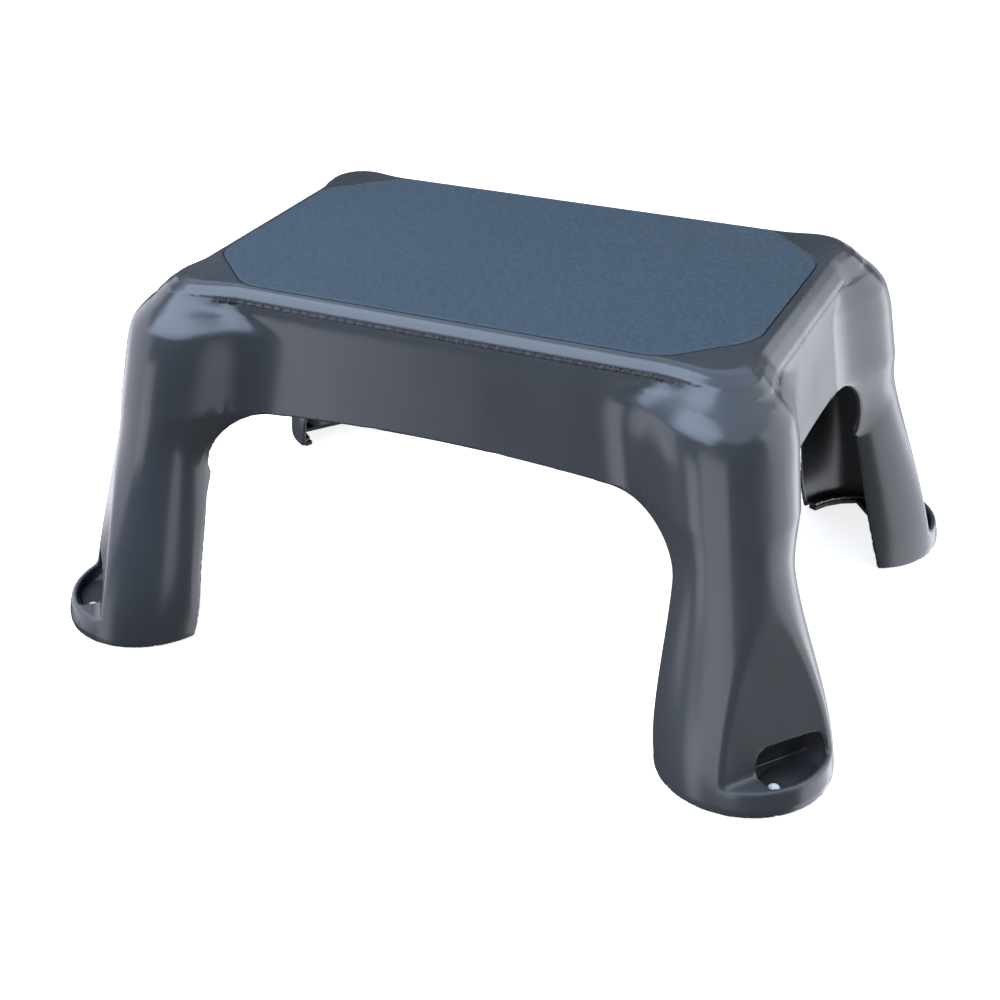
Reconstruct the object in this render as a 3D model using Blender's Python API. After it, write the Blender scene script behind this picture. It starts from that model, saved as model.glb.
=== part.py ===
"""One-step moulded stool: deck with a non-slip mat, four hollow splayed legs, rubber feet and their pins.

Metres, +Z up. X is the long side, Y the short side, and the origin is on the floor under the middle.
"""

import math

import bmesh
import bpy
from mathutils import Matrix, Vector

# Driving dimensions
HEIGHT = 0.235
WALL = 0.003
GAP = 0.0003
RIM_TOP = HEIGHT - 0.0005

# The mat's outline: half length, half depth, distance of the clipped corners and their rounding.
TREAD_X = 0.1803
TREAD_Y = 0.1100
TREAD_CLIP = 0.1745
TREAD_ROUND = 0.028
TREAD_ROUND_STEPS = 5
MAT_THICKNESS = 0.0020

# Rim profile as (drop below the rim top, growth in X, growth in Y), and the rounding of its corners.
RIM_STEPS = (
    (0.0000, 0.0022, 0.0022),
    (0.0020, 0.0050, 0.0045),
    (0.0065, 0.0097, 0.0078),
    (0.0120, 0.0142, 0.0086),
    (0.0175, 0.0162, 0.0091),
)
DECK_ROUND = 0.022
SIDE_DRAFT = 0.12
FRONT_DRAFT = 0.09
APRON_FOOT = 0.095
APRON_LEVELS = (0.115, 0.135, 0.155, 0.178, 0.198)

# Each leg is a splayed column that flares into a bell-shaped foot.
FOOT_X = 0.2110
FOOT_Y = 0.1465
SPLAY = 0.162
LEG_RADIUS = 0.0340
FOOT_RADIUS = 0.0530
FLARE_LOW = 0.010
FLARE_HIGH = 0.135
SHOULDER_START = 0.188
SHOULDER_RISE = 0.040
APRON_BLEND = 0.045
RIM_BLEND = 0.020
BLEND_RISE = 0.060
BLEND_TAPER = 2.5
LEG_LEVELS = (0.012, 0.025, 0.040, 0.055, 0.070, 0.085, 0.100, 0.115, 0.135, 0.165)
SHOULDER_ANGLES = (0, 18, 36, 53, 69, 83)

# The hollow between the legs: (height, half length, half depth), widening towards the floor.
LEG_OPENING = (
    (-0.020, 0.2385, 0.1710),
    (0.095, 0.2100, 0.1370),
    (0.125, 0.2015, 0.1214),
)

# Arches through the aprons: half width, height at the leg, crown height, crown sag and corner reach.
FRONT_ARCH = (0.1590, 0.1100, 0.1600, 0.0050, 0.0480)
SIDE_ARCH = (0.0925, 0.1100, 0.1570, 0.0030, 0.0380)

# Toe pocket: the way it faces, in degrees from the Y axis, and distances that way from the foot's
# centre. The deep chamber behind the lip reaches further across towards the stool's end.
POCKET_TURN = 52.0
RAMP_FOOT = 0.0295
RAMP_FOOT_Z = 0.031
RAMP_SLOPE = 0.2200
LIP_TOP = 0.0170
LIP_WALL = 0.0040
CHAMBER_BACK = 0.014
CHAMBER_ENDS = (-0.013, 0.036)
CHAMBER_FLOOR = 0.0065

# Foot: plastic skirt, inward flange, rubber pad and pin.
SKIRT_BOTTOM = 0.0012
PAD_THICKNESS = 0.0030
FLANGE_WIDTH = 0.0095
PAD_ENDS = (-118, 101)
BOSS_CENTRE = (0.0325, 0.0095)
BOSS_HALF = (0.0125, 0.0195)
BOSS_TOP = 0.0085
PIN_PLACE = (0.0375, -0.0050)
PIN_HEAD_RADIUS = 0.0038
PIN_STEM_RADIUS = 0.0017
PIN_HEAD_HEIGHT = 0.0028
PIN_CHAMFER = 0.0005

# Ribs under the deck, by where each one crosses the other axis.
RIB_THICKNESS = 0.0025
RIB_DEPTH = 0.014
RIBS_ALONG_X = (-0.0705, -0.0235, 0.0235, 0.0705)
RIBS_ALONG_Y = (-0.144, -0.096, -0.048, 0.0, 0.048, 0.096, 0.144)

CORNERS = {
    "front_left": (-1, -1),
    "front_right": (1, -1),
    "rear_left": (-1, 1),
    "rear_right": (1, 1),
}

# Reach of cutters past what they cut, and how finely round shapes are divided.
OUTSIDE = 0.02
ARCH_REACH = 0.30
OPENING_ROUND_STEPS = 3
RAY_REACH = 0.25
RAY_HALVINGS = 24
QUARTER_RAYS = 20
LEG_SIDES = 28
CHAMBER_STEPS = 8
ARCH_STEPS = 6
CROWN_STEPS = 3
BOSS_SIDES = 16
PIN_SIDES = 12
PIN_DOME_ANGLES = (20, 45, 70)
PAD_OUTER_STEPS = 24
PAD_INNER_STEPS = 3

MATERIALS = {
    "body_plastic": ((0.075, 0.100, 0.135), 0.30, 0.0),
    "mat_rubber": ((0.055, 0.085, 0.115), 0.65, 0.0),
    "foot_rubber": ((0.012, 0.012, 0.013), 0.75, 0.0),
    "pin_nylon": ((0.620, 0.630, 0.640), 0.40, 0.0),
}


# Scene and material helpers


def clear_scene():
    for obj in list(bpy.data.objects):
        bpy.data.objects.remove(obj, do_unlink=True)


def make_material(name):
    colour, roughness, metallic = MATERIALS[name]
    material = bpy.data.materials.new(name)
    material.use_nodes = True
    shader = material.node_tree.nodes["Principled BSDF"]
    shader.inputs["Base Color"].default_value = (*colour, 1.0)
    shader.inputs["Roughness"].default_value = roughness
    shader.inputs["Metallic"].default_value = metallic
    return material


def add_object(name, bm):
    bmesh.ops.recalc_face_normals(bm, faces=bm.faces)
    mesh = bpy.data.meshes.new(name)
    bm.to_mesh(mesh)
    bm.free()
    obj = bpy.data.objects.new(name, mesh)
    bpy.context.scene.collection.objects.link(obj)
    return obj


def loft(name, rings):
    """A closed solid through rings that all have the same number of points."""
    bm = bmesh.new()
    rows = [[bm.verts.new(point) for point in ring] for ring in rings]
    count = len(rows[0])
    for low, high in zip(rows, rows[1:]):
        for i in range(count):
            j = (i + 1) % count
            bm.faces.new((low[i], low[j], high[j], high[i]))
    bm.faces.new(rows[0])
    bm.faces.new(rows[-1])
    return add_object(name, bm)


def extrude_outline(name, outline, low, high):
    """A flat outline of (x, y) points made solid between two heights."""
    return loft(name, [[Vector((x, y, z)) for x, y in outline] for z in (low, high)])


def combine(target, other, operation):
    """Applies a Boolean of other to target, and removes other."""
    modifier = target.modifiers.new("combine", "BOOLEAN")
    modifier.operation = operation
    modifier.solver = "EXACT"
    modifier.object = other
    graph = bpy.context.evaluated_depsgraph_get()
    mesh = bpy.data.meshes.new_from_object(target.evaluated_get(graph))
    target.modifiers.clear()
    target.data = mesh
    bpy.data.objects.remove(other, do_unlink=True)


def finish(obj, material, angle=35):
    obj.data.materials.clear()
    obj.data.materials.append(material)
    obj.data.shade_smooth()
    obj.data.set_sharp_from_angle(angle=math.radians(angle))


# Deck


def octagon(x, y, clip, radius, segments):
    """A rectangle of half sizes x and y whose corners are cut at a diagonal distance, then rounded."""
    reach = clip * math.sqrt(2)
    side_end = reach - x
    front_end = reach - y
    corner_turn = math.tan(math.radians(22.5)) * radius
    points = []
    for centre, start in (
        ((x - radius, side_end - corner_turn), 0),
        ((front_end - corner_turn, y - radius), 45),
    ):
        for step in range(segments + 1):
            angle = math.radians(start + 45 * step / segments)
            points.append(
                (centre[0] + radius * math.cos(angle), centre[1] + radius * math.sin(angle))
            )
    left = [(-px, py) for px, py in reversed(points)]
    below = [(-px, -py) for px, py in points]
    right = [(px, -py) for px, py in reversed(points)]
    return points + left + below + right


def deck_size(z):
    """Half length and half depth of the deck's outer face at height z."""
    drop = RIM_TOP - z
    for low, high in zip(RIM_STEPS, RIM_STEPS[1:]):
        if drop <= high[0]:
            part = (drop - low[0]) / (high[0] - low[0])
            x, y = [a + (b - a) * part for a, b in zip(low[1:], high[1:])]
            return TREAD_X + x, TREAD_Y + y
    last = RIM_STEPS[-1]
    below = drop - last[0]
    return TREAD_X + last[1] + SIDE_DRAFT * below, TREAD_Y + last[2] + FRONT_DRAFT * below


def deck_distance(x, y, z):
    """How far a point of the quarter with positive x and y lies outside the deck's rounded oblong."""
    half_x, half_y = deck_size(z)
    past_x = x - half_x + DECK_ROUND
    past_y = y - half_y + DECK_ROUND
    corner = math.hypot(max(past_x, 0.0), max(past_y, 0.0))
    return corner + min(max(past_x, past_y), 0.0) - DECK_ROUND


def leg_distance(x, y, z):
    """How far the point lies outside the leg's column and the dome on top of it."""
    rise = min(max((z - SHOULDER_START) / SHOULDER_RISE, 0.0), 1.0)
    centre = leg_centre(z, 1, 1)
    return math.hypot(x - centre.x, y - centre.y) - leg_radius(z) * math.sqrt(1 - rise * rise)


def blended_distance(x, y, z, blend):
    """Deck and leg joined with a fillet, as a smooth minimum of the two distances."""
    deck = deck_distance(x, y, z)
    leg = leg_distance(x, y, z)
    overlap = max(blend - abs(deck - leg), 0.0) / blend
    return min(deck, leg) - overlap * overlap * blend / 4


def blended_quarter(z, inset, blend):
    """The quarter outline, found along rays from a spine on the X axis by halving an interval."""
    spine = TREAD_X - TREAD_Y
    points = []
    for i in range(QUARTER_RAYS + 1):
        side = 2 * i / QUARTER_RAYS - 1
        turn = math.radians(45 + 45 * side * (1 + side * side) / 2)
        low = 0.0
        high = RAY_REACH
        for _ in range(RAY_HALVINGS):
            middle = (low + high) / 2
            x = spine + middle * math.cos(turn)
            if blended_distance(x, middle * math.sin(turn), z, blend) < -inset:
                low = middle
            else:
                high = middle
        points.append((spine + low * math.cos(turn), low * math.sin(turn)))
    return points


def four_quarters(quarter):
    """Mirrors a quarter outline that starts on the X axis and ends at the spine's height."""
    left = [(-x, y) for x, y in reversed(quarter)]
    top = quarter + left
    return top + [(x, -y) for x, y in reversed(top[1:-1])]


def deck_ring(z, inset, drop, blend):
    quarter = blended_quarter(z, inset, blend)
    return [Vector((x, y, z - drop)) for x, y in four_quarters(quarter)]


def deck_rings(inset):
    """Rings of the deck from the apron's lower edge up, with the fillet growing from nothing."""
    rings = []
    for z in (APRON_FOOT,) + APRON_LEVELS:
        taper = BLEND_TAPER * (HEIGHT - z) / APRON_BLEND
        growth = min((z - APRON_FOOT) / BLEND_RISE, 1.0, taper)
        rings.append(deck_ring(z, inset, 0.0, GAP + APRON_BLEND * growth))
    for step in reversed(RIM_STEPS):
        drop = min(step[0], inset)
        blend = RIM_BLEND if step[0] else GAP
        rings.append(deck_ring(RIM_TOP - step[0], inset, drop, blend))
    return rings


def make_deck():
    return loft("stool_body", deck_rings(0.0))


def deck_hollow_rings():
    """The deck's inside: a wall's thickness in from the apron, and under the mat's recess at the top."""
    rings = deck_rings(WALL)
    ceiling = RIM_TOP - MAT_THICKNESS - WALL
    for ring in rings:
        for point in ring:
            point.z = min(point.z, ceiling)
    return rings


def make_leg_opening():
    """The space between the legs, which widens towards the floor so that the legs open inwards."""
    rings = []
    for z, half_x, half_y in LEG_OPENING:
        clip = (half_x + half_y) / math.sqrt(2) - 2 * WALL
        outline = octagon(half_x, half_y, clip, WALL, OPENING_ROUND_STEPS)
        rings.append([Vector((px, py, z)) for px, py in outline])
    return loft("leg_opening", rings)


def make_deck_hollow():
    hollow = loft("deck_hollow", deck_hollow_rings())
    combine(hollow, make_leg_opening(), "UNION")
    return hollow


# Legs


def lean(z):
    """How far the leg has leaned in along X and along Y: it stands straight up to the pocket's floor."""
    return SPLAY * max(z - CHAMBER_FLOOR, 0.0)


def leg_centre(z, sx, sy):
    return Vector((sx * (FOOT_X - lean(z)), sy * (FOOT_Y - lean(z)), z))


def leg_radius(z):
    part = min(max((z - FLARE_LOW) / (FLARE_HIGH - FLARE_LOW), 0.0), 1.0)
    smooth = part * part * (3 - 2 * part)
    return FOOT_RADIUS + (LEG_RADIUS - FOOT_RADIUS) * smooth


def leg_ring(z, radius, sx, sy):
    """A level circle round the leg's axis, with corners where it faces along X and along Y."""
    centre = leg_centre(z, sx, sy)
    out = Vector((sx, sy, 0)).normalized()
    across = Vector((-out.y, out.x, 0))
    ring = []
    for i in range(LEG_SIDES):
        angle = 2 * math.pi * (i + 0.5) / LEG_SIDES
        ring.append(centre + radius * (out * math.cos(angle) + across * math.sin(angle)))
    return ring


def leg_rings(sx, sy, inset):
    rings = [leg_ring(z, leg_radius(z) - inset, sx, sy) for z in LEG_LEVELS]
    for angle in SHOULDER_ANGLES:
        turn = math.radians(angle)
        z = SHOULDER_START + (SHOULDER_RISE - inset) * math.sin(turn)
        rings.append(leg_ring(z, (LEG_RADIUS - inset) * math.cos(turn), sx, sy))
    return rings


def foot_ring(z, inset, sx, sy):
    return leg_ring(z, FOOT_RADIUS - inset, sx, sy)


def make_leg(sx, sy):
    return loft("leg", [foot_ring(SKIRT_BOTTOM, 0.0, sx, sy)] + leg_rings(sx, sy, 0.0))


def make_leg_hollow(sx, sy):
    """The leg's inside, narrower where the flange turns in above the pad."""
    flange_low = PAD_THICKNESS + GAP
    steps = (
        (-OUTSIDE, WALL),
        (flange_low, WALL),
        (flange_low, FLANGE_WIDTH),
        (CHAMBER_FLOOR, FLANGE_WIDTH),
        (CHAMBER_FLOOR, WALL),
    )
    rings = [foot_ring(z, inset, sx, sy) for z, inset in steps]
    return loft("leg_hollow", rings + leg_rings(sx, sy, WALL))


# Toe pocket


def outward(sx, sy):
    """The way a leg's pocket faces, and the way across it towards the stool's end."""
    turn = math.radians(POCKET_TURN)
    out = Vector((sx * math.sin(turn), sy * math.cos(turn), 0))
    return out, Vector((sx * math.cos(turn), -sy * math.sin(turn), 0))


def pocket_frame(sx, sy):
    """Turns (the way the pocket faces, across it, up) from the foot's centre into world space."""
    out, across = outward(sx, sy)
    frame = Matrix((out, across, Vector((0, 0, 1)))).transposed().to_4x4()
    frame.translation = Vector((sx * FOOT_X, sy * FOOT_Y, 0))
    return frame


def ramp_along(z):
    return RAMP_FOOT + RAMP_SLOPE * (RAMP_FOOT_Z - z)


def make_ramp_cut(sx, sy, grow):
    """Everything outside the sloping plane that carries the leg's corner down to the foot."""
    half = FOOT_RADIUS + OUTSIDE
    far = FOOT_RADIUS + OUTSIDE
    frame = pocket_frame(sx, sy)
    rings = []
    for z in (LIP_TOP - grow, FLARE_HIGH):
        near = ramp_along(z) - grow
        corners = ((near, -half), (far, -half), (far, half), (near, half))
        rings.append([frame @ Vector((along, across, z)) for along, across in corners])
    return loft("ramp_cut", rings)


def make_chamber(sx, sy, grow):
    """The deep part of the pocket, behind the lip and under the ramp's lower edge."""
    frame = pocket_frame(sx, sy)
    first = CHAMBER_ENDS[0] - grow
    last = CHAMBER_ENDS[1] + grow
    back = CHAMBER_BACK - grow
    rings = []
    for z in (CHAMBER_FLOOR - grow, RAMP_FOOT_Z + grow):
        centre = frame.inverted() @ leg_centre(z, sx, sy)
        radius = leg_radius(z) - LIP_WALL + 2 * grow
        start = math.asin((first - centre.y) / radius)
        end = math.asin((last - centre.y) / radius)
        outline = [(back, first)]
        for i in range(CHAMBER_STEPS + 1):
            angle = start + (end - start) * i / CHAMBER_STEPS
            place = (centre.x + radius * math.cos(angle), centre.y + radius * math.sin(angle))
            outline.append(place)
        outline.append((back, last))
        rings.append([frame @ Vector((along, across, z)) for along, across in outline])
    return loft("chamber", rings)


def make_pocket(sx, sy, grow):
    pocket = make_ramp_cut(sx, sy, grow)
    combine(pocket, make_chamber(sx, sy, grow), "UNION")
    return pocket


# Arches and ribs


def arch_outline(arch):
    """Half of an arch as (distance from the middle, height), from the floor to the crown."""
    half, spring, crown, sag, reach = arch
    shoulder = half - reach
    shoulder_z = crown - sag
    points = [(half, -OUTSIDE)]
    for i in range(ARCH_STEPS + 1):
        angle = math.radians(90 * i / ARCH_STEPS)
        x = shoulder + reach * math.cos(angle)
        points.append((x, spring + (shoulder_z - spring) * math.sin(angle)))
    for i in range(CROWN_STEPS - 1, 0, -1):
        part = i / CROWN_STEPS
        points.append((shoulder * part, crown - sag * part**2))
    return points


def make_arch(arch, along_x):
    half = arch_outline(arch)
    outline = half + [(-x, z) for x, z in reversed(half)]
    rings = []
    for depth in (-ARCH_REACH, ARCH_REACH):
        if along_x:
            rings.append([Vector((depth, x, z)) for x, z in outline])
        else:
            rings.append([Vector((x, depth, z)) for x, z in outline])
    return loft("arch", rings)


def make_rib(centre, half_x, half_y):
    top = RIM_TOP - MAT_THICKNESS - WALL / 2
    outline = ((-half_x, -half_y), (half_x, -half_y), (half_x, half_y), (-half_x, half_y))
    shifted = [(centre[0] + x, centre[1] + y) for x, y in outline]
    return extrude_outline("rib", shifted, top - RIB_DEPTH, top)


def make_ribs():
    """Crossed ribs under the deck, trimmed to end inside the thickness of the apron."""
    thin = RIB_THICKNESS / 2
    half_x = TREAD_X + OUTSIDE
    half_y = TREAD_Y + OUTSIDE
    planks = [make_rib((0, place), half_x, thin) for place in RIBS_ALONG_X]
    planks += [make_rib((place, 0), thin, half_y) for place in RIBS_ALONG_Y]
    ribs = planks[0]
    for plank in planks[1:]:
        combine(ribs, plank, "UNION")
    combine(ribs, loft("rib_limit", deck_rings(WALL / 2)), "INTERSECT")
    return ribs


# Body


def tread_outline(inset):
    sizes = [size - inset for size in (TREAD_X, TREAD_Y, TREAD_CLIP, TREAD_ROUND)]
    return octagon(*sizes, TREAD_ROUND_STEPS)


def make_recess():
    outline = tread_outline(0.0)
    return extrude_outline("recess", outline, RIM_TOP - MAT_THICKNESS, HEIGHT + OUTSIDE)


def boss_outline(grow, sx, sy):
    frame = pocket_frame(sx, sy)
    outline = []
    for i in range(BOSS_SIDES):
        angle = 2 * math.pi * i / BOSS_SIDES
        along = BOSS_CENTRE[0] + (BOSS_HALF[0] + grow) * math.cos(angle)
        across = BOSS_CENTRE[1] + (BOSS_HALF[1] + grow) * math.sin(angle)
        point = frame @ Vector((along, across, 0))
        outline.append((point.x, point.y))
    return outline


def make_body():
    body = make_deck()
    hollow = make_deck_hollow()
    for sx, sy in CORNERS.values():
        combine(body, make_leg(sx, sy), "UNION")
        combine(hollow, make_leg_hollow(sx, sy), "UNION")
    for sx, sy in CORNERS.values():
        combine(hollow, make_pocket(sx, sy, WALL), "DIFFERENCE")
    combine(body, hollow, "DIFFERENCE")
    for sx, sy in CORNERS.values():
        combine(body, make_pocket(sx, sy, 0.0), "DIFFERENCE")
        outline = boss_outline(GAP, sx, sy)
        window = extrude_outline("window", outline, PAD_THICKNESS, CHAMBER_FLOOR + GAP)
        combine(body, window, "DIFFERENCE")
    combine(body, make_arch(FRONT_ARCH, False), "DIFFERENCE")
    combine(body, make_arch(SIDE_ARCH, True), "DIFFERENCE")
    combine(body, make_ribs(), "UNION")
    combine(body, make_recess(), "DIFFERENCE")
    return body


# Mat, pads and pins


def make_mat():
    outline = tread_outline(GAP)
    return extrude_outline("tread_mat", outline, RIM_TOP - MAT_THICKNESS + GAP, HEIGHT)


def pad_outline(sx, sy):
    """A horseshoe under the skirt's inner edge, with its toe filled in under the pocket."""
    frame = pocket_frame(sx, sy)
    outer = FOOT_RADIUS - WALL - 2 * GAP
    inner = FOOT_RADIUS - FLANGE_WIDTH
    toe = math.degrees(math.acos(CHAMBER_BACK / inner))
    start, end = PAD_ENDS
    polar = []
    for i in range(PAD_OUTER_STEPS + 1):
        polar.append((outer, start + (end - start) * i / PAD_OUTER_STEPS))
    for first, last in ((end, toe), (-toe, start)):
        for i in range(PAD_INNER_STEPS + 1):
            polar.append((inner, first + (last - first) * i / PAD_INNER_STEPS))
    outline = []
    for radius, angle in polar:
        turn = math.radians(angle)
        point = frame @ Vector((radius * math.cos(turn), radius * math.sin(turn), 0))
        outline.append((point.x, point.y))
    return outline


def pin_place(sx, sy):
    return pocket_frame(sx, sy) @ Vector((*PIN_PLACE, 0))


def circle(centre, radius, z):
    ring = []
    for i in range(PIN_SIDES):
        angle = 2 * math.pi * i / PIN_SIDES
        offset = Vector((radius * math.cos(angle), radius * math.sin(angle), z))
        ring.append(Vector((centre.x, centre.y, 0)) + offset)
    return ring


def make_pad(name, sx, sy):
    pad = extrude_outline(name, pad_outline(sx, sy), 0.0, PAD_THICKNESS)
    boss = extrude_outline("boss", boss_outline(0.0, sx, sy), PAD_THICKNESS / 2, BOSS_TOP)
    combine(pad, boss, "UNION")
    place = pin_place(sx, sy)
    hole = [circle(place, PIN_STEM_RADIUS + GAP, z) for z in (-OUTSIDE, OUTSIDE)]
    combine(pad, loft("hole", hole), "DIFFERENCE")
    return pad


def make_pin(name, sx, sy):
    place = pin_place(sx, sy)
    base = BOSS_TOP + GAP
    profile = [
        (PIN_STEM_RADIUS - PIN_CHAMFER, SKIRT_BOTTOM),
        (PIN_STEM_RADIUS, SKIRT_BOTTOM + PIN_CHAMFER),
        (PIN_STEM_RADIUS, base),
        (PIN_HEAD_RADIUS, base),
    ]
    for angle in PIN_DOME_ANGLES:
        turn = math.radians(angle)
        height = base + PIN_HEAD_HEIGHT * math.sin(turn)
        profile.append((PIN_HEAD_RADIUS * math.cos(turn), height))
    return loft(name, [circle(place, radius, z) for radius, z in profile])


def main():
    clear_scene()
    materials = {name: make_material(name) for name in MATERIALS}
    finish(make_body(), materials["body_plastic"])
    finish(make_mat(), materials["mat_rubber"])
    for corner, (sx, sy) in CORNERS.items():
        finish(make_pad("foot_pad_" + corner, sx, sy), materials["foot_rubber"])
        finish(make_pin("foot_pin_" + corner, sx, sy), materials["pin_nylon"])


main()
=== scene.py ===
"""Looks of the one-step moulded stool.

A fine moulding, a grained tread mat, foot pads, pins and a studio, in metres with +Z up. Every size
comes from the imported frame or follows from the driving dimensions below.
"""

import math

import bmesh
import bpy
import numpy as np
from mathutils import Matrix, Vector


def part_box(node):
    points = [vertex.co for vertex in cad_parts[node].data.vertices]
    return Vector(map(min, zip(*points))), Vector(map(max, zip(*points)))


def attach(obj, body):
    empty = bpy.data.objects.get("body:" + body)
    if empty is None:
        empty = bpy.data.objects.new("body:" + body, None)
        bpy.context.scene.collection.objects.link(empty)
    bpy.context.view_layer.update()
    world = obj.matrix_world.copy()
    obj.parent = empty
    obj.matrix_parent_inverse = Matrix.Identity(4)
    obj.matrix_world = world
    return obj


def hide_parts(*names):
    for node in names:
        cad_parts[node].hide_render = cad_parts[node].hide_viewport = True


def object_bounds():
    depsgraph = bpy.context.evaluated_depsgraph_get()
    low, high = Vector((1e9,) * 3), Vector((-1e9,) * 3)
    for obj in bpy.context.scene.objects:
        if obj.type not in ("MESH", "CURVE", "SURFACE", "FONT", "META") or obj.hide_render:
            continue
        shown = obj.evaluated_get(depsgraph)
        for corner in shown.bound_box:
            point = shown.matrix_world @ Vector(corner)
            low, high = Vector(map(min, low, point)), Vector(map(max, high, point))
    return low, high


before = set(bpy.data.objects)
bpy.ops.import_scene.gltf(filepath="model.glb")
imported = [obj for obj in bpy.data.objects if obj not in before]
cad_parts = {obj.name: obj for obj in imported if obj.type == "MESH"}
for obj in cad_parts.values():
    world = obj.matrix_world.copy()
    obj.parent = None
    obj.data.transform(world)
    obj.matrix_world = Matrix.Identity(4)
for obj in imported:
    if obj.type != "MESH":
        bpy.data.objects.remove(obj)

import openvdb
from mathutils import Matrix, Vector
from mathutils.geometry import delaunay_2d_cdt

CAD_LOW, CAD_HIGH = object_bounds()
MAT_LOW, MAT_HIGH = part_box("tread_mat")

# Body: heights and walls
HEIGHT = MAT_HIGH.z
WALL = 0.003
GAP = 0.0003
RIM_TOP = HEIGHT - 0.0005
MAT_FLOOR = MAT_LOW.z - GAP
CEILING = MAT_FLOOR - WALL

# Tread outline: half length, half depth, distance of the clipped corners and their rounding
TREAD_X = MAT_HIGH.x + GAP
TREAD_Y = MAT_HIGH.y + GAP
TREAD_CLIP = 0.1745
OUTLINE_SOFT = 0.0085

# Rim profile: drop below the rim top against how far each side has grown outwards
RIM_DROPS = (-0.004, 0.0, 0.0020, 0.0065, 0.0120, 0.0175)
RIM_GROW_X = (0.0000, 0.0022, 0.0050, 0.0097, 0.0142, 0.0162)
RIM_GROW_Y = (0.0005, 0.0022, 0.0045, 0.0078, 0.0086, 0.0091)
DECK_ROUND = 0.022
SIDE_DRAFT = 0.12
FRONT_DRAFT = 0.09
PROFILE_STEP = 0.00025
PROFILE_SOFT = 0.0006

# Foot of the apron: its height, and the slope, shift and rounding of the cut that ends the deck
APRON_FOOT = 0.095
APRON_CUT_SLOPE = 0.8
APRON_CUT_SHIFT = 0.006
APRON_CUT_SOFT = 0.01

# Legs: splayed columns that flare into round feet
FOOT_RADIUS = 0.0530
FOOT_X = CAD_HIGH.x - FOOT_RADIUS
FOOT_Y = CAD_HIGH.y - FOOT_RADIUS
SPLAY = 0.162
LEG_RADIUS = 0.0340
FLARE_LOW = 0.010
FLARE_HIGH = 0.135
SHOULDER_START = 0.188
SHOULDER_RISE = 0.040

# Fillet between the deck and the legs: its width along the apron, how it grows above the apron's
# foot and tapers towards the rim, its least share, its width at the rim and where that takes over
APRON_BLEND = 0.045
BLEND_RISE = 0.060
BLEND_TAPER = 2.5
LEAST_BLEND = 0.05
RIM_BLEND = 0.020
RIM_BLEND_LEVELS = (0.205, 0.225)

# The space between the legs, where they are open: height, half length, half depth
OPENING_LEVELS = (-0.020, 0.095, 0.125)
OPENING_X = (0.2385, 0.2100, 0.2015)
OPENING_Y = (0.1710, 0.1370, 0.1214)

# Arches: half width, height at the leg, crown height, sag of the crown, reach of the corner
FRONT_ARCH = (0.1590, 0.1100, 0.1600, 0.0050, 0.0480)
SIDE_ARCH = (0.0925, 0.1100, 0.1570, 0.0030, 0.0380)

# Toe pocket: the way it faces, from the Y axis, and distances that way from the foot's centre.
# The deep chamber behind the lip reaches further across towards the stool's end.
POCKET_TURN = math.radians(52.0)
RAMP_FOOT = 0.0295
RAMP_FOOT_Z = 0.031
RAMP_SLOPE = 0.2200
RAMP_DISH = 0.0010
LIP_TOP = 0.0170
LIP_WALL = 0.0040
CHAMBER_BACK = 0.014
CHAMBER_ENDS = (-0.013, 0.036)
CHAMBER_FLOOR = 0.0065
POCKET_SOFT = 0.004
CHAMBER_SOFT = 0.002
CHAMBER_END_SOFT = 0.012
CHAMBER_WALL_SOFT = 0.003

# Foot
SKIRT_BOTTOM = 0.0012
PAD_THICKNESS = 0.0030
FLANGE_WIDTH = 0.0095
BOSS_CENTRE = (0.0325, 0.0095)
BOSS_HALF = (0.0125, 0.0195)

# Groove under the rim, with teeth along the front and the rear: drops below the rim top
SEAM_FRONT = 0.0096
SEAM_SIDE = 0.0150
SEAM_RUN = 0.0090
SEAM_DEPTH = 0.0012
SEAM_CLEAR = 0.0010
SEAM_END_X = 0.150
SEAM_END_Y = 0.090
SEAM_FADE = 0.010
TOOTH_PITCH = 0.0065
TOOTH_HALF = 0.0008
TOOTH_TALL = 0.0020
SEAM_SOFT = 0.0006

# Where the mesh is made finer for the groove: drops below the rim top, longest edge and rounds
SEAM_FRONT_BAND = (0.0070, 0.0116)
SEAM_SIDE_BAND = (0.0140, 0.0164)
FINE_EDGE = 0.0011
FINE_ROUNDS = 5

# Ribs under the deck, by where each one crosses the other axis
RIB_THICKNESS = 0.0025
RIB_DEPTH = 0.014
RIBS_ALONG_X = (0.0235, 0.0705)
RIBS_ALONG_Y = (0.0, 0.048, 0.096, 0.144)

# How widely the body's other surfaces are rounded into each other
OPENING_SIDE_SOFT = 0.008
OPENING_TOP_SOFT = 0.004
CEILING_SOFT = 0.003
INNER_SOFT = 0.002
FLANGE_SOFT = 0.0006
EDGE_SOFT = 0.0022
RIM_SOFT = 0.0016
SKIRT_SOFT = 0.0012
RECESS_SOFT = 0.0008
RIB_SOFT = 0.002
RIB_EDGE_SOFT = 0.0008

# Meshing: the grid, the steps that move points onto the surface, and how many rounds of them the
# full, the thinned and the final mesh get
VOXEL = 0.0020
MARGIN = 3
FAR = 0.02
GRADIENT_STEP = 0.0002
LEAST_SLOPE = 0.05
LONGEST_STEP = 0.5 * VOXEL
TINY = 1e-9
FULL_ROUNDS = 4
THINNED_ROUNDS = 2
FINAL_ROUNDS = 4
BODY_TRIANGLES = 134000


# Soft versions of the largest, the smallest and a step


def soft_max(a, b, soft):
    overlap = np.maximum(soft - np.abs(a - b), 0.0) / soft
    return np.maximum(a, b) + overlap * overlap * soft / 4


def soft_min(a, b, soft):
    return -soft_max(-a, -b, soft)


def smooth_step(value, low, high):
    part = np.clip((value - low) / (high - low), 0.0, 1.0)
    return part * part * (3 - 2 * part)


# Deck


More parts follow.
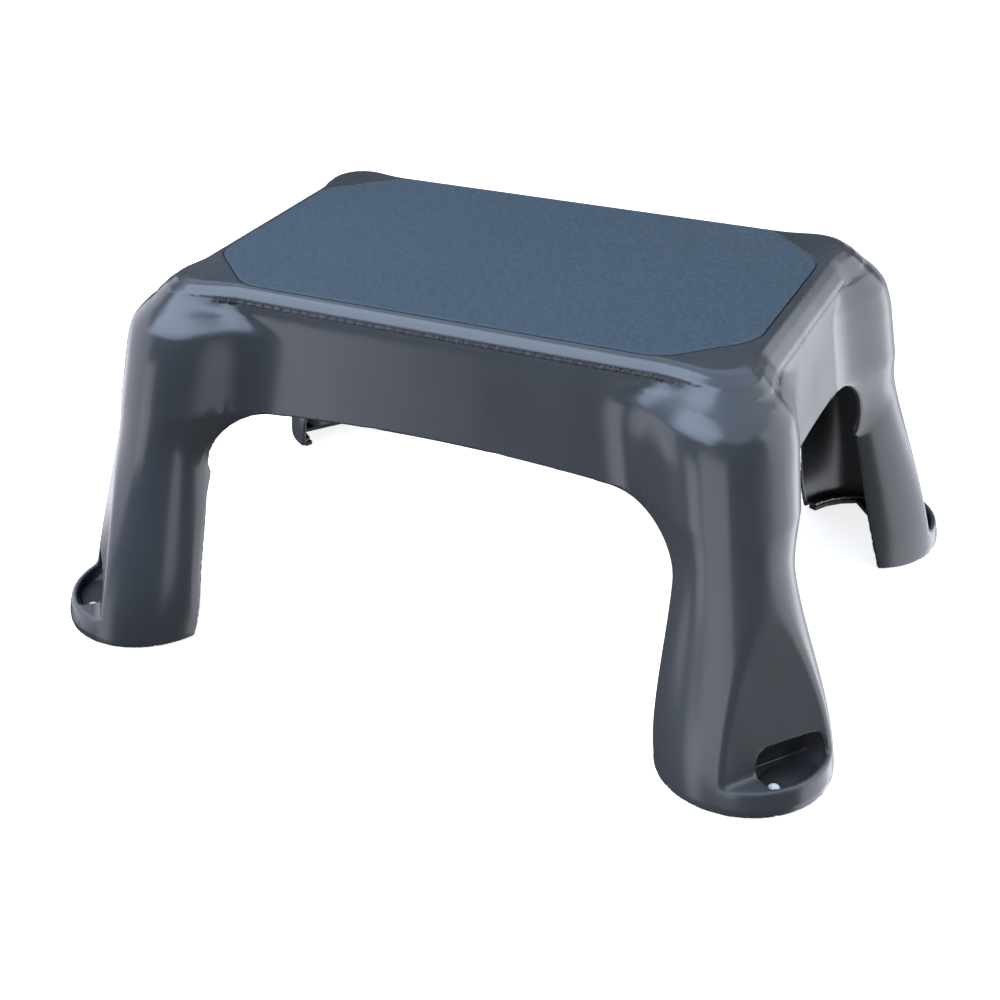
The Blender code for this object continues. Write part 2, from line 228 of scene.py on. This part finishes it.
def smooth_profile(growth, draft):
    """The rim's profile as a dense table with its corners rounded, and its slope."""
    drops = np.arange(RIM_DROPS[0], HEIGHT, PROFILE_STEP)
    values = np.interp(drops, RIM_DROPS, growth)
    values = values + draft * np.maximum(drops - RIM_DROPS[-1], 0.0)
    reach = int(3 * PROFILE_SOFT / PROFILE_STEP)
    weights = np.exp(-0.5 * (np.arange(-reach, reach + 1) * PROFILE_STEP / PROFILE_SOFT) ** 2)
    padded = np.pad(values, reach, mode="reflect", reflect_type="odd")
    values = np.convolve(padded, weights / weights.sum(), mode="valid")
    return drops, values, np.gradient(values, PROFILE_STEP)


PROFILE_X = smooth_profile(RIM_GROW_X, SIDE_DRAFT)
PROFILE_Y = smooth_profile(RIM_GROW_Y, FRONT_DRAFT)


def side_distance(place, z, base, profile):
    """Distance out from one sloping side of the deck, and how much the slope stretches it."""
    drops, values, slopes = profile
    drop = RIM_TOP - z
    slope = np.interp(drop, drops, slopes)
    return place - base - np.interp(drop, drops, values), 1 / np.sqrt(1 + slope * slope)


def deck_distance(x, y, z):
    """Distance outside the deck: a rounded oblong whose sides follow the rim's profiles."""
    past_x, lean_x = side_distance(x, z, TREAD_X - DECK_ROUND, PROFILE_X)
    past_y, lean_y = side_distance(y, z, TREAD_Y - DECK_ROUND, PROFILE_Y)
    corner = np.hypot(np.maximum(past_x, 0.0), np.maximum(past_y, 0.0))
    level = corner + np.minimum(np.maximum(past_x, past_y), 0.0) - DECK_ROUND
    share = smooth_step(past_y - past_x, -DECK_ROUND, DECK_ROUND)
    sides = level * (lean_x * (1 - share) + lean_y * share)
    foot = APRON_CUT_SLOPE * (APRON_FOOT - z) + APRON_CUT_SHIFT
    return soft_max(sides, foot, APRON_CUT_SOFT)


# Legs


def lean(z):
    return SPLAY * np.maximum(z - CHAMBER_FLOOR, 0.0)


def leg_radius(z):
    return FOOT_RADIUS + (LEG_RADIUS - FOOT_RADIUS) * smooth_step(z, FLARE_LOW, FLARE_HIGH)


def leg_distance(x, y, z):
    """Distance outside the leg: a leaning column with a dome on top."""
    away = np.hypot(x - FOOT_X + lean(z), y - FOOT_Y + lean(z))
    rise = np.maximum(z - SHOULDER_START, 0.0) / SHOULDER_RISE
    radius = leg_radius(z)
    column = away - radius
    dome = (np.sqrt((away / radius) ** 2 + rise * rise) - 1) * radius
    return np.where(rise > 0, dome, column)


def outer_distance(x, y, z):
    """Deck and legs joined by a fillet that is widest along the apron and small at the rim."""
    growth = np.minimum((z - APRON_FOOT) / BLEND_RISE, 1.0)
    apron = np.minimum(growth, BLEND_TAPER * (HEIGHT - z) / APRON_BLEND)
    soft = GAP + APRON_BLEND * np.clip(apron, LEAST_BLEND, 1.0)
    high = smooth_step(z, *RIM_BLEND_LEVELS)
    soft = soft * (1 - high) + RIM_BLEND * high
    return soft_min(deck_distance(x, y, z), leg_distance(x, y, z), soft)


# Toe pocket


def pocket_place(x, y):
    """(the way the pocket faces, across it towards the stool's end) from the foot's centre."""
    x = x - FOOT_X
    y = y - FOOT_Y
    sine, cosine = math.sin(POCKET_TURN), math.cos(POCKET_TURN)
    return x * sine + y * cosine, x * cosine - y * sine


def pocket_distance(x, y, z, grow):
    """Distance outside the pocket: the space past the ramp and above the lip, and the chamber."""
    along, across = pocket_place(x, y)
    dish = RAMP_DISH * np.clip(1 - (across / CHAMBER_ENDS[1]) ** 2, 0.0, 1.0)
    ramp = RAMP_FOOT + RAMP_SLOPE * (RAMP_FOOT_Z - z) - dish
    above = soft_max(ramp - along, LIP_TOP - z, POCKET_SOFT) - grow
    chamber = soft_max(CHAMBER_BACK - along, z - RAMP_FOOT_Z, CHAMBER_SOFT)
    chamber = soft_max(chamber, CHAMBER_FLOOR - z, CHAMBER_SOFT)
    middle = (CHAMBER_ENDS[0] + CHAMBER_ENDS[1]) / 2
    half = (CHAMBER_ENDS[1] - CHAMBER_ENDS[0]) / 2
    chamber = soft_max(chamber, np.abs(across - middle) - half, CHAMBER_END_SOFT)
    inside = leg_distance(x, y, z) + LIP_WALL
    chamber = soft_max(chamber, inside - grow, CHAMBER_WALL_SOFT) - grow
    return soft_min(above, chamber, CHAMBER_SOFT)


def window_distance(x, y, z):
    """The oval through the chamber's floor that lets the pad's boss up."""
    along, across = pocket_place(x, y)
    half_along = BOSS_HALF[0] + GAP
    half_across = BOSS_HALF[1] + GAP
    ratio = np.hypot((along - BOSS_CENTRE[0]) / half_along, (across - BOSS_CENTRE[1]) / half_across)
    return np.maximum((ratio - 1) * half_along, np.abs(z - CHAMBER_FLOOR + WALL / 2) - WALL)


# Hollow, arches and ribs


def opening_distance(x, y, z):
    half_x = np.interp(z, OPENING_LEVELS, OPENING_X)
    half_y = np.interp(z, OPENING_LEVELS, OPENING_Y)
    sides = soft_max(x - half_x, y - half_y, OPENING_SIDE_SOFT)
    return soft_max(sides, z - OPENING_LEVELS[-1], OPENING_TOP_SOFT)


def flange_distance(x, y, z):
    """The shelf inside the foot that the pad is stuck up against."""
    low = PAD_THICKNESS + GAP
    middle = (low + CHAMBER_FLOOR) / 2
    half = (CHAMBER_FLOOR - low) / 2
    return np.maximum(-leg_distance(x, y, z) - FLANGE_WIDTH, np.abs(z - middle) - half)


def hollow_distance(x, y, z, outer):
    inner = soft_max(outer + WALL, z - CEILING, CEILING_SOFT)
    inner = soft_max(inner, -flange_distance(x, y, z), FLANGE_SOFT)
    inner = soft_min(inner, opening_distance(x, y, z), INNER_SOFT)
    return soft_max(inner, -pocket_distance(x, y, z, WALL), INNER_SOFT)


def arch_distance(place, z, arch):
    half, spring, crown, sag, reach = arch
    shoulder = half - reach
    shoulder_z = crown - sag
    rise = shoulder_z - spring
    over = np.maximum(place - shoulder, 0.0) / reach
    up = np.maximum(z - spring, 0.0) / rise
    corner = (np.hypot(over, up) - 1) * min(reach, rise)
    top = z - (crown - sag * (place / shoulder) ** 2)
    side = place - half
    return np.where(place < shoulder, top, np.where(z < spring, side, corner))


def nearest(value, places):
    """Distance to the nearest of several places."""
    return np.min([np.abs(value - place) for place in places], axis=0)


def rib_distance(x, y, z, outer):
    half = RIB_THICKNESS / 2
    planks = np.minimum(nearest(y, RIBS_ALONG_X), nearest(x, RIBS_ALONG_Y)) - half
    top = CEILING + WALL / 2
    ends = np.maximum(outer + WALL / 2, z - top)
    return soft_max(np.maximum(planks, ends), top - RIB_DEPTH - z, RIB_EDGE_SOFT)


def recess_distance(x, y, z):
    corner = (x + y) / math.sqrt(2)
    sides = soft_max(x - TREAD_X, y - TREAD_Y, OUTLINE_SOFT)
    sides = soft_max(sides, corner - TREAD_CLIP, OUTLINE_SOFT)
    return np.maximum(sides, MAT_FLOOR - z)


def body_distance(x, y, z):
    """Signed distance, near the surface, of the moulded body: negative inside the plastic."""
    x = np.abs(x)
    y = np.abs(y)
    outer = outer_distance(x, y, z)
    body = soft_max(outer, z - RIM_TOP, RIM_SOFT)
    body = soft_max(body, SKIRT_BOTTOM - z, SKIRT_SOFT)
    body = soft_max(body, -hollow_distance(x, y, z, outer), EDGE_SOFT)
    body = soft_max(body, -pocket_distance(x, y, z, 0.0), EDGE_SOFT)
    body = np.maximum(body, -window_distance(x, y, z))
    body = soft_max(body, -arch_distance(x, z, FRONT_ARCH), EDGE_SOFT)
    body = soft_max(body, -arch_distance(y, z, SIDE_ARCH), EDGE_SOFT)
    body = soft_min(body, rib_distance(x, y, z, outer), RIB_SOFT)
    return soft_max(body, -recess_distance(x, y, z), RECESS_SOFT)


def seam_depth(place, end, below):
    """How deep the groove is cut. Past its ends and well below its edge, it stays clear."""
    share = smooth_step(end - place, -SEAM_FADE, SEAM_FADE)
    share = share * np.clip(1 - below / SEAM_RUN, 0.0, 1.0)
    return (SEAM_DEPTH + SEAM_CLEAR) * share - SEAM_CLEAR


def seam_distance(x, y, z, outer):
    """Distance outside the undercut below the rim and the notches in its lower edge."""
    below = RIM_TOP - z - SEAM_FRONT
    cell = np.abs((x + TOOTH_PITCH / 2) % TOOTH_PITCH - TOOTH_PITCH / 2)
    edge = np.minimum(-below, np.maximum(cell - TOOTH_HALF, -below - TOOTH_TALL))
    front = np.maximum(edge, -outer - seam_depth(x, SEAM_END_X, below))
    front = np.maximum(front, TREAD_Y - WALL - y)
    below = RIM_TOP - z - SEAM_SIDE
    side = np.maximum(-below, -outer - seam_depth(y, SEAM_END_Y, below))
    return np.minimum(front, np.maximum(side, TREAD_X - WALL - x))


def fine_distance(x, y, z):
    """The body's distance with the details too small for the grid."""
    outer = outer_distance(np.abs(x), np.abs(y), z)
    seam = seam_distance(np.abs(x), np.abs(y), z, outer)
    return soft_max(body_distance(x, y, z), -seam, SEAM_SOFT)


# Mesh from the distance


def mirrored(values, axis):
    """Adds the mirror image of a block that starts on the plane of symmetry."""
    rest = np.flip(np.take(values, range(1, values.shape[axis]), axis=axis), axis=axis)
    return np.concatenate([rest, values], axis=axis)


def sample_body():
    """The distance on a grid over the whole body, worked out on one quarter and mirrored."""
    counts = [int(math.ceil(high / VOXEL)) + MARGIN for high in CAD_HIGH]
    axes = [np.arange(0, counts[0]) * VOXEL, np.arange(0, counts[1]) * VOXEL]
    axes.append(np.arange(-MARGIN, counts[2]) * VOXEL)
    x, y, z = np.meshgrid(*axes, indexing="ij", sparse=True)
    values = body_distance(x, y, z)
    values = mirrored(mirrored(values, 0), 1)
    start = Vector((-axes[0][-1], -axes[1][-1], axes[2][0]))
    return np.clip(values, -FAR, FAR).astype(np.float32), start


def gradient(distance, points):
    x, y, z = points.T
    step = GRADIENT_STEP
    slopes = [
        distance(x + step, y, z) - distance(x - step, y, z),
        distance(x, y + step, z) - distance(x, y - step, z),
        distance(x, y, z + step) - distance(x, y, z - step),
    ]
    return np.stack(slopes, axis=1) / (2 * step)


def settle(distance, points, rounds):
    """Moves points onto the surface by Newton steps no longer than half a voxel."""
    for _ in range(rounds):
        slope = gradient(distance, points)
        size = np.maximum((slope * slope).sum(axis=1), LEAST_SLOPE)
        step = (distance(*points.T) / size)[:, None] * slope
        length = np.linalg.norm(step, axis=1)[:, None]
        points = points - step * np.minimum(1.0, LONGEST_STEP / np.maximum(length, TINY))
    return points


def mesh_points(mesh):
    flat = np.empty(len(mesh.vertices) * 3, np.float32)
    mesh.vertices.foreach_get("co", flat)
    return flat.reshape(-1, 3).astype(float)


def set_points(mesh, points):
    mesh.vertices.foreach_set("co", points.astype(np.float32).ravel())
    mesh.update()


def apply_modifiers(piece):
    graph = bpy.context.evaluated_depsgraph_get()
    mesh = bpy.data.meshes.new_from_object(piece.evaluated_get(graph))
    piece.modifiers.clear()
    old = piece.data
    piece.data = mesh
    bpy.data.meshes.remove(old)


def add_piece(name, mesh):
    piece = bpy.data.objects.new(name, mesh)
    bpy.context.scene.collection.objects.link(piece)
    return piece


def between(value, limits):
    return (value > limits[0]) & (value < limits[1])


def near_seam(points):
    """Which points lie on the outer wall near the groove under the rim."""
    x, y = np.abs(points[:, :2].T)
    drop = RIM_TOP - points[:, 2]
    front = (y > TREAD_Y - WALL) & (x < SEAM_END_X + SEAM_FADE) & between(drop, SEAM_FRONT_BAND)
    side = (x > TREAD_X) & (y < SEAM_END_Y + SEAM_FADE) & between(drop, SEAM_SIDE_BAND)
    return (front | side) & (outer_distance(x, y, points[:, 2]) > -WALL / 2)


def refine_seam(mesh):
    """Divides the long edges near the groove until its shape can show."""
    bm = bmesh.new()
    bm.from_mesh(mesh)
    for _ in range(FINE_ROUNDS):
        bmesh.ops.triangulate(bm, faces=[face for face in bm.faces if len(face.verts) > 3])
        bm.verts.index_update()
        near = near_seam(np.array([vert.co[:] for vert in bm.verts]))
        edges = []
        for edge in bm.edges:
            first, last = edge.verts
            if (near[first.index] or near[last.index]) and edge.calc_length() > FINE_EDGE:
                edges.append(edge)
        if not edges:
            break
        bmesh.ops.subdivide_edges(bm, edges=edges, cuts=1)
    bmesh.ops.triangulate(bm, faces=[face for face in bm.faces if len(face.verts) > 3])
    bm.to_mesh(mesh)
    bm.free()


def make_body():
    values, start = sample_body()
    grid = openvdb.FloatGrid(background=FAR)
    grid.copyFromArray(values)
    points, quads = grid.convertToQuads(isovalue=0.0)
    points = points.astype(float) * VOXEL + np.array(start)
    mesh = bpy.data.meshes.new("stool_moulding")
    points = settle(body_distance, points, FULL_ROUNDS)
    mesh.from_pydata(points.tolist(), [], quads.tolist())
    body = add_piece("stool_moulding", mesh)
    decimate = body.modifiers.new("thin_out", "DECIMATE")
    decimate.ratio = min(1.0, BODY_TRIANGLES / (2 * len(quads)))
    apply_modifiers(body)
    set_points(body.data, settle(body_distance, mesh_points(body.data), THINNED_ROUNDS))
    refine_seam(body.data)
    points = settle(fine_distance, mesh_points(body.data), FINAL_ROUNDS)
    set_points(body.data, points)
    slope = gradient(fine_distance, points)
    slope /= np.maximum(np.linalg.norm(slope, axis=1), TINY)[:, None]
    body.data.shade_smooth()
    body.data.normals_split_custom_set_from_vertices(slope.tolist())
    return body


# Tread mat

# Grain: the lattice, the depth of its low and high points below the mat's top as shares of its
# height, how far points stray and how far they stay from the edge, in pitches
GRAIN_PITCH = 0.0016
GRAIN_HEIGHT = 0.00022
GRAIN_SEED = 7
GRAIN_ROWS = 90
GRAIN_COLUMNS = 140
GRAIN_LOW = (0.55, 1.0)
GRAIN_HIGH = (0.0, 0.35)
GRAIN_STRAY = 0.14
GRAIN_CLEAR = 0.4

# Edge and outline
MAT_EDGE = 0.0012
MAT_EDGE_DROP = 0.0006
MAT_CREASE = math.radians(60)
OUTLINE_POINTS = 600
HALVINGS = 40
SAME_POINT = 1e-7


def tread_outline(inset):
    """The mat's outline, anticlockwise, found along rays from the middle by halving an interval."""
    turns = 2 * math.pi * np.arange(OUTLINE_POINTS) / OUTLINE_POINTS
    east, north = np.cos(turns), np.sin(turns)
    low = np.zeros(OUTLINE_POINTS)
    high = np.full(OUTLINE_POINTS, TREAD_X + TREAD_Y)
    for _ in range(HALVINGS):
        middle = (low + high) / 2
        outside = recess_distance(np.abs(middle * east), np.abs(middle * north), HEIGHT) > -inset
        high = np.where(outside, middle, high)
        low = np.where(outside, low, middle)
    return np.stack([low * east, low * north], axis=1)


def grain_points():
    """A lattice inside the mat's edge, with every third point raised to a different height."""
    rows = np.arange(-GRAIN_ROWS, GRAIN_ROWS + 1)
    columns = np.arange(-GRAIN_COLUMNS, GRAIN_COLUMNS + 1)
    row, column = np.meshgrid(rows, columns, indexing="ij")
    x = GRAIN_PITCH * (column + 0.5 * (row % 2))
    y = GRAIN_PITCH * math.sqrt(0.75) * row
    random = np.random.default_rng(GRAIN_SEED)
    x = x + random.uniform(-GRAIN_STRAY, GRAIN_STRAY, x.shape) * GRAIN_PITCH
    y = y + random.uniform(-GRAIN_STRAY, GRAIN_STRAY, x.shape) * GRAIN_PITCH
    raised = (column - (row // 2) + row) % 3 == 0
    low = random.uniform(*GRAIN_LOW, x.shape)
    high = random.uniform(*GRAIN_HIGH, x.shape)
    z = HEIGHT - GRAIN_HEIGHT * np.where(raised, high, low)
    limit = -GAP - MAT_EDGE - GRAIN_CLEAR * GRAIN_PITCH
    inside = recess_distance(np.abs(x), np.abs(y), HEIGHT) < limit
    return np.stack([x[inside], y[inside], z[inside]], axis=1)


def make_mat():
    """A closed slab with a rolled edge, whose top is a fine lattice of small pimples."""
    outer = tread_outline(GAP)
    inner = tread_outline(GAP + MAT_EDGE)
    grain = grain_points()
    count = OUTLINE_POINTS
    flat = [Vector(point) for point in np.concatenate([inner, grain[:, :2]]).tolist()]
    border = [(i, (i + 1) % count) for i in range(count)]
    top = delaunay_2d_cdt(flat, border, [], 1, SAME_POINT)[2]
    levels = (MAT_LOW.z, HEIGHT - MAT_EDGE_DROP)
    points = [(x, y, z) for z in levels for x, y in outer.tolist()]
    points += [(x, y, HEIGHT - GRAIN_HEIGHT / 2) for x, y in inner.tolist()]
    points += [tuple(point) for point in grain.tolist()]
    faces = [tuple(reversed(range(count)))]
    for start in (0, count):
        for i, j in border:
            faces.append((start + i, start + j, start + count + j, start + count + i))
    faces += [tuple(2 * count + i for i in face) for face in top]
    mesh = bpy.data.meshes.new("tread_grain")
    mesh.from_pydata(points, [], faces)
    mesh.shade_smooth()
    mesh.set_sharp_from_angle(angle=MAT_CREASE)
    return add_piece("tread_grain", mesh)


# Materials

PAD_ROUNDING = 0.0004
PIN_ROUNDING = 0.0002
ROUNDING_SEGMENTS = 3
ROUNDING_CREASE = math.radians(50)


def new_material(name, colour, roughness):
    material = bpy.data.materials.new(name)
    material.use_nodes = True
    shader = material.node_tree.nodes["Principled BSDF"]
    shader.inputs["Base Color"].default_value = (*colour, 1.0)
    shader.inputs["Roughness"].default_value = roughness
    return material, material.node_tree, shader


def add_noise(tree, scale, stretch=(1, 1, 1), detail=2.0):
    """Noise in the object's own coordinates, stretched along the axes, from 0 to 1."""
    place = tree.nodes.new("ShaderNodeTexCoord")
    mapping = tree.nodes.new("ShaderNodeMapping")
    mapping.inputs["Scale"].default_value = stretch
    noise = tree.nodes.new("ShaderNodeTexNoise")
    noise.inputs["Scale"].default_value = scale
    noise.inputs["Detail"].default_value = detail
    tree.links.new(place.outputs["Object"], mapping.inputs["Vector"])
    tree.links.new(mapping.outputs["Vector"], noise.inputs["Vector"])
    return noise.outputs["Fac"]


def map_range(tree, value, source, target):
    node = tree.nodes.new("ShaderNodeMapRange")
    tree.links.new(value, node.inputs["Value"])
    for name, number in zip(("From Min", "From Max", "To Min", "To Max"), source + target):
        node.inputs[name].default_value = number
    return node.outputs["Result"]


def mix_colours(tree, factor, first, second):
    mix = tree.nodes.new("ShaderNodeMix")
    mix.data_type = "RGBA"
    tree.links.new(factor, mix.inputs["Factor"])
    for socket, colour in (("A", first), ("B", second)):
        found = [entry for entry in mix.inputs if entry.name == socket and entry.type == "RGBA"][0]
        if isinstance(colour, tuple):
            found.default_value = (*colour, 1.0)
        else:
            tree.links.new(colour, found)
    return [entry for entry in mix.outputs if entry.type == "RGBA"][0]


def add_bumps(tree, shader, layers):
    """Chains bump nodes, each given as (height, strength, distance in metres)."""
    normal = None
    for height, strength, distance in layers:
        bump = tree.nodes.new("ShaderNodeBump")
        bump.inputs["Strength"].default_value = strength
        bump.inputs["Distance"].default_value = distance
        tree.links.new(height, bump.inputs["Height"])
        if normal:
            tree.links.new(normal, bump.inputs["Normal"])
        normal = bump.outputs["Normal"]
    tree.links.new(normal, shader.inputs["Normal"])


def body_plastic():
    """Semi-gloss moulded polypropylene: faint flow marks down the walls and a soft orange peel."""
    material, tree, shader = new_material("moulded_slate_plastic", (0.045, 0.053, 0.058), 0.2)
    cloud = add_noise(tree, 9.0, detail=3.0)
    flow = add_noise(tree, 34.0, (1, 1, 0.06))
    shift = map_range(tree, cloud, (0.3, 0.7), (0.0, 1.0))
    base = mix_colours(tree, shift, (0.037, 0.040, 0.042), (0.046, 0.050, 0.053))
    streak = map_range(tree, flow, (0.35, 0.75), (0.0, 0.22))
    base = mix_colours(tree, streak, base, (0.056, 0.059, 0.063))
    tree.links.new(base, shader.inputs["Base Color"])
    rough = map_range(tree, flow, (0.3, 0.7), (0.20, 0.28))
    tree.links.new(rough, shader.inputs["Roughness"])
    peel = add_noise(tree, 420.0)
    add_bumps(tree, shader, [(flow, 0.10, 0.0006), (peel, 0.10, 0.00012)])
    return material


def mat_rubber():
    """Matt rubber with fine pale specks and slow changes of tint."""
    material, tree, shader = new_material("grained_tread_rubber", (0.030, 0.050, 0.067), 0.6)
    cloud = add_noise(tree, 7.0, detail=3.0)
    speck = add_noise(tree, 310.0, detail=3.0)
    shift = map_range(tree, cloud, (0.3, 0.7), (0.0, 1.0))
    base = mix_colours(tree, shift, (0.025, 0.044, 0.058), (0.032, 0.050, 0.064))
    mottle = map_range(tree, speck, (0.42, 0.68), (0.0, 0.45))
    base = mix_colours(tree, mottle, base, (0.053, 0.076, 0.091))
    tree.links.new(base, shader.inputs["Base Color"])
    rough = map_range(tree, speck, (0.3, 0.7), (0.52, 0.72))
    tree.links.new(rough, shader.inputs["Roughness"])
    add_bumps(tree, shader, [(speck, 0.35, 0.00025)])
    return material


def foot_rubber():
    """Black rubber with a dusty bloom."""
    material, tree, shader = new_material("foot_pad_rubber", (0.012, 0.012, 0.013), 0.75)
    dust = add_noise(tree, 60.0, detail=4.0)
    grain = add_noise(tree, 700.0)
    bloom = map_range(tree, dust, (0.35, 0.75), (0.0, 1.0))
    base = mix_colours(tree, bloom, (0.010, 0.010, 0.011), (0.022, 0.022, 0.023))
    tree.links.new(base, shader.inputs["Base Color"])
    rough = map_range(tree, dust, (0.3, 0.7), (0.65, 0.85))
    tree.links.new(rough, shader.inputs["Roughness"])
    add_bumps(tree, shader, [(grain, 0.3, 0.0001)])
    return material


def pin_nylon():
    """Natural nylon: slightly clouded, with fine turning marks."""
    material, tree, shader = new_material("pin_natural_nylon", (0.62, 0.63, 0.64), 0.4)
    cloud = add_noise(tree, 220.0, detail=3.0)
    rings = add_noise(tree, 900.0, (0.2, 0.2, 3), 1.0)
    shift = map_range(tree, cloud, (0.3, 0.7), (0.0, 1.0))
    base = mix_colours(tree, shift, (0.56, 0.57, 0.57), (0.66, 0.67, 0.68))
    tree.links.new(base, shader.inputs["Base Color"])
    rough = map_range(tree, cloud, (0.3, 0.7), (0.34, 0.46))
    tree.links.new(rough, shader.inputs["Roughness"])
    add_bumps(tree, shader, [(rings, 0.15, 0.0001)])
    return material


def dress_carried(prefix, material, width):
    """A CAD node that stays: its own material, and a small rounding of its edges."""
    for name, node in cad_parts.items():
        if name.startswith(prefix):
            node.data.materials.clear()
            node.data.materials.append(material)
            bevel = node.modifiers.new("rounding", "BEVEL")
            bevel.width = width
            bevel.segments = ROUNDING_SEGMENTS
            bevel.limit_method = "ANGLE"
            bevel.angle_limit = ROUNDING_CREASE


# Studio

# Camera: lens and sensor in millimetres, and azimuth, elevation and roll in degrees
LENS = 59.65
SENSOR = 36.0
CAMERA_ANGLES = (24.82, 29.38, -0.61)
CAMERA_DISTANCE = 1.018
CAMERA_TARGET = Vector((0.037, -0.109, 0.120))

# White paper of the floor and of the dome around it
PAPER = (0.86, 0.86, 0.86)
PAPER_ROUGHNESS = 0.9
FLOOR_RADIUS = 6.0
FLOOR_SEGMENTS = 96
FLOOR_GLOW = 0.80
DOME_RADIUS = 8.0
DOME_DIVISIONS = 4
DOME_GLOW = 1.0


def make_camera():
    """A long lens from the front right, a little above, as a catalogue picture has it."""
    azimuth, elevation, roll = (math.radians(angle) for angle in CAMERA_ANGLES)
    back = Vector((math.sin(azimuth), -math.cos(azimuth), math.tan(elevation))).normalized()
    right = Vector((0, 0, 1)).cross(back).normalized()
    up = back.cross(right)
    tilted_right = right * math.cos(roll) + up * math.sin(roll)
    data = bpy.data.cameras.new("camera")
    data.lens = LENS
    data.sensor_width = SENSOR
    camera = bpy.data.objects.new("camera", data)
    turn = Matrix((tilted_right, back.cross(tilted_right), back)).transposed()
    camera.matrix_world = Matrix.LocRotScale(CAMERA_TARGET + back * CAMERA_DISTANCE, turn, None)
    bpy.context.scene.collection.objects.link(camera)
    bpy.context.scene.camera = camera


def add_paper(name, bm, glow):
    """A white piece of the studio that only the camera sees: it changes no light and no gloss."""
    mesh = bpy.data.meshes.new(name)
    bm.to_mesh(mesh)
    bm.free()
    piece = add_piece(name, mesh)
    material, _, shader = new_material(name + "_paper", PAPER, PAPER_ROUGHNESS)
    mesh.materials.append(material)
    shader.inputs["Emission Color"].default_value = (1.0, 1.0, 1.0, 1.0)
    shader.inputs["Emission Strength"].default_value = glow
    piece.visible_glossy = False
    piece.visible_diffuse = False
    piece.visible_transmission = False
    piece.visible_shadow = False
    return piece


def make_floor():
    bm = bmesh.new()
    bmesh.ops.create_circle(bm, cap_ends=True, radius=FLOOR_RADIUS, segments=FLOOR_SEGMENTS)
    floor = add_paper("floor", bm, FLOOR_GLOW)


def make_backdrop():
    """A wide white dome, so that the background stays plain from every side."""
    bm = bmesh.new()
    bmesh.ops.create_icosphere(bm, subdivisions=DOME_DIVISIONS, radius=DOME_RADIUS)
    backdrop = add_paper("backdrop", bm, DOME_GLOW)


# Softboxes: name, middle, the point each faces, width and height, and the light's colour and
# strength
SOFTBOXES = (
    ("right", (0.78, 0.62, -0.17), (0.0, 0.62, -0.17), (1.60, 1.86), (2.30, 2.38, 2.58)),
    ("back", (0.55, 1.25, -0.70), (0.45, 0.0, -0.70), (1.60, 1.90), (0.86, 0.88, 0.95)),
    ("left", (-0.50, -0.20, 0.15), (0.0, -0.20, 0.15), (0.60, 0.50), (1.60, 1.60, 1.80)),
    ("apron", (-1.76, -2.43, -0.78), (0.0, -0.10, 0.17), (0.95, 1.50), (2.25, 2.25, 2.48)),
    ("front", (0.16, -0.43, 0.10), (0.19, 0.0, 0.10), (0.24, 0.30), (1.90, 1.90, 2.05)),
    ("top", (-0.10, 0.10, 1.45), (-0.10, 0.10, 0.0), (3.00, 3.00), (1.05, 1.25, 1.62)),
    ("rim", (-0.47, -0.78, 1.11), (0.0, -0.11, 0.23), (1.50, 0.95), (3.25, 3.95, 5.30)),
)
AMBIENT = 0.08


def make_softbox(name, place, target, size, colour):
    """A rectangular light of even brightness, seen in the gloss but not by the camera."""
    data = bpy.data.lights.new(name, "AREA")
    data.shape = "RECTANGLE"
    data.size, data.size_y = size
    data.energy = math.pi * size[0] * size[1] * max(colour)
    data.color = [part / max(colour) for part in colour]
    light = bpy.data.objects.new(name, data)
    light.location = place
    light.rotation_mode = "QUATERNION"
    light.rotation_quaternion = (Vector(target) - Vector(place)).to_track_quat("-Z", "Y")
    light.visible_camera = False
    bpy.context.scene.collection.objects.link(light)


def make_world():
    world = bpy.data.worlds.new("studio")
    world.use_nodes = True
    background = world.node_tree.nodes["Background"]
    background.inputs["Color"].default_value = (AMBIENT, AMBIENT, AMBIENT, 1.0)
    bpy.context.scene.world = world


def place_piece(piece, node, material):
    piece.data.materials.append(material)
    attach(piece, "root")
    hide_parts(node)


def main():
    bpy.context.scene.view_settings.view_transform = "Standard"
    make_camera()
    make_world()
    make_floor()
    make_backdrop()
    for softbox in SOFTBOXES:
        make_softbox(*softbox)
    place_piece(make_body(), "stool_body", body_plastic())
    place_piece(make_mat(), "tread_mat", mat_rubber())
    dress_carried("foot_pad", foot_rubber(), PAD_ROUNDING)
    dress_carried("foot_pin", pin_nylon(), PIN_ROUNDING)


main()
